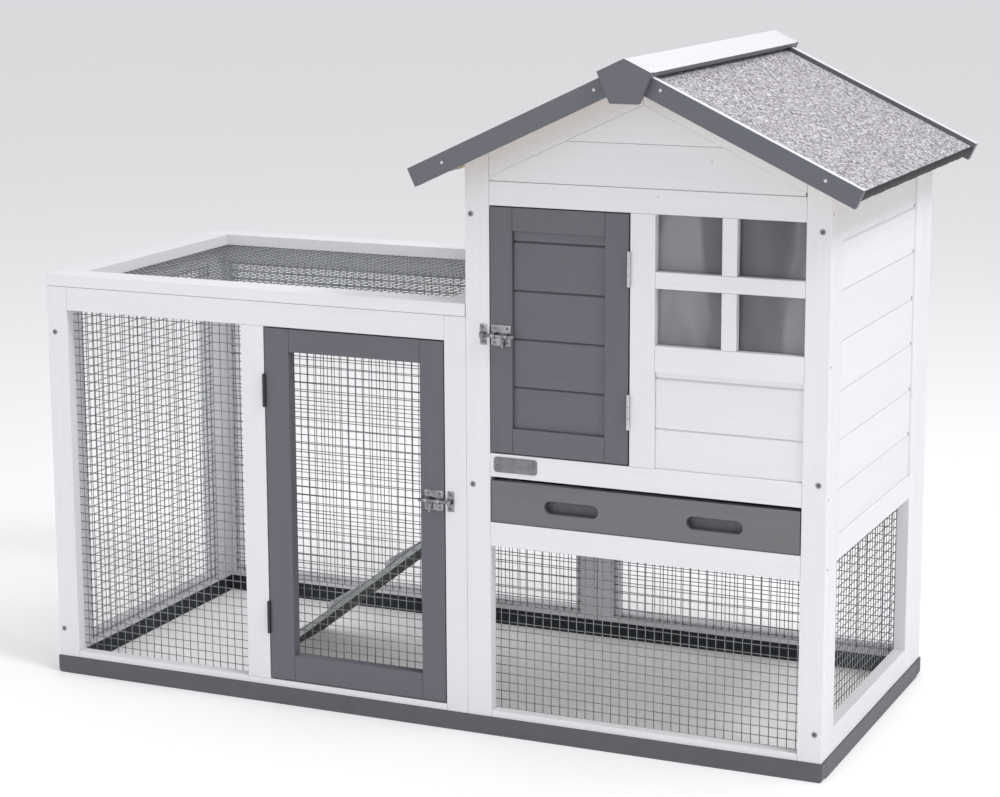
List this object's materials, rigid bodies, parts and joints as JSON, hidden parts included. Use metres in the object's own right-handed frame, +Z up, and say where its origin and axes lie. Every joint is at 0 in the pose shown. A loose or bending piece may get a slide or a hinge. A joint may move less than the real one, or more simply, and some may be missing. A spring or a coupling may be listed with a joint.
{
  "type": "rabbit hutch",
  "caption": "Two-storey timber rabbit hutch: gabled house with window, hinged door and pull-out tray, mesh run with hinged door, tower bolts and an inner ramp.",
  "frame": {"origin": "middle of the bounding box, on the ground under the skirt", "axes": "+X along the length from the run to the house, +Y from the doors to the back, +Z up"},
  "size_m": [1.2595, 0.622, 0.9597],
  "materials": {
    "white_paint": "white painted fir, satin",
    "grey_paint": "grey painted fir, satin",
    "drawer_paint": "warm grey painted fir, satin",
    "ramp_paint": "thin grey wash on fir",
    "bare_wood": "unpainted fir and plywood",
    "galvanised_wire": "galvanised welded wire",
    "zinc_steel": "bright zinc plated steel",
    "dark_steel": "dark grey coated steel",
    "roof_felt": "mineral-faced bitumen felt",
    "acrylic": "clear acrylic sheet",
    "tray_plastic": "matt moulded sheet"
  },
  "bodies": {
    "root": {"barge_boards": "grey_paint", "gable_boards_back": "white_paint", "gable_boards_front": "white_paint", "gable_caps": "grey_paint", "gable_rafters": "white_paint", "house_back_boards": "white_paint", "house_back_frame": "white_paint", "house_bolt_keeper": "zinc_steel", "house_door_hinges_fixed": "zinc_steel", "house_front_boards": "white_paint", "house_front_posts": "white_paint", "house_front_rails": "white_paint", "house_left_boards": "white_paint", "house_left_frame": "white_paint", "house_right_boards": "white_paint", "house_right_frame": "white_paint", "lower_back_mesh": "galvanised_wire", "lower_front_mesh": "galvanised_wire", "lower_right_mesh": "galvanised_wire", "name_plate": "zinc_steel", "ridge_cap_boards": "grey_paint", "roof_felt_left": "roof_felt", "roof_felt_right": "roof_felt", "roof_panel_left": "bare_wood", "roof_panel_right": "bare_wood", "run_back_frame": "white_paint", "run_back_mesh": "galvanised_wire", "run_bolt_keeper": "zinc_steel", "run_door_hinges_fixed": "dark_steel", "run_front_frame": "white_paint", "run_front_mesh": "galvanised_wire", "run_left_frame": "white_paint", "run_left_mesh": "galvanised_wire", "run_roof_frame": "white_paint", "run_roof_mesh": "galvanised_wire", "screws": "zinc_steel", "skirt_back": "grey_paint", "skirt_front": "grey_paint", "skirt_left": "grey_paint", "skirt_right": "grey_paint", "tray_runners": "bare_wood", "window_bars": "white_paint", "window_pane": "acrylic"},
    "run_door": {"run_door_frame": "grey_paint", "run_door_mesh": "galvanised_wire", "run_door_hinges_moving": "dark_steel", "run_bolt_plate": "zinc_steel"},
    "run_bolt": {"run_bolt_rod": "zinc_steel"},
    "run_lever": {"run_bolt_lever": "zinc_steel"},
    "house_door": {"house_door_frame": "grey_paint", "house_door_boards": "grey_paint", "house_door_hinges_moving": "zinc_steel", "house_bolt_plate": "zinc_steel"},
    "house_bolt": {"house_bolt_rod": "zinc_steel"},
    "house_lever": {"house_bolt_lever": "zinc_steel"},
    "tray": {"tray_front": "drawer_paint", "tray_pan": "tray_plastic"},
    "ramp": {"ramp_plank": "ramp_paint", "ramp_cleats": "ramp_paint"}
  },
  "joints": [
    {"name": "run_door_hinge", "type": "hinge", "parent": "root", "child": "run_door", "pos_m": [-0.261, -0.2476, 0.296], "axis": [0, 0, -1], "range_deg": [0, 150]},
    {"name": "run_bolt_slide", "type": "slide", "parent": "run_door", "child": "run_bolt", "axis": [1, 0, 0], "range_m": [0, 0.008]},
    {"name": "run_lever_turn", "type": "hinge", "parent": "run_bolt", "child": "run_lever", "pos_m": [0.0012, -0.2512, 0.332], "axis": [-1, 0, 0], "range_deg": [0, 110]},
    {"name": "house_door_hinge", "type": "hinge", "parent": "root", "child": "house_door", "pos_m": [0.296, -0.2476, 0.576], "axis": [0, 0, 1], "range_deg": [0, 150]},
    {"name": "house_bolt_slide", "type": "slide", "parent": "house_door", "child": "house_bolt", "axis": [-1, 0, 0], "range_m": [0, 0.008]},
    {"name": "house_lever_turn", "type": "hinge", "parent": "house_bolt", "child": "house_lever", "pos_m": [0.114, -0.2512, 0.573], "axis": [-1, 0, 0], "range_deg": [0, 110]},
    {"name": "tray_slide", "type": "slide", "parent": "root", "child": "tray", "axis": [0, -1, 0], "range_m": [0, 0.4]},
    {"name": "ramp_lift", "type": "hinge", "parent": "root", "child": "ramp", "pos_m": [0.0555, 0.007, 0.337], "axis": [0, 1, 0], "range_deg": [0, 38]}
  ]
}
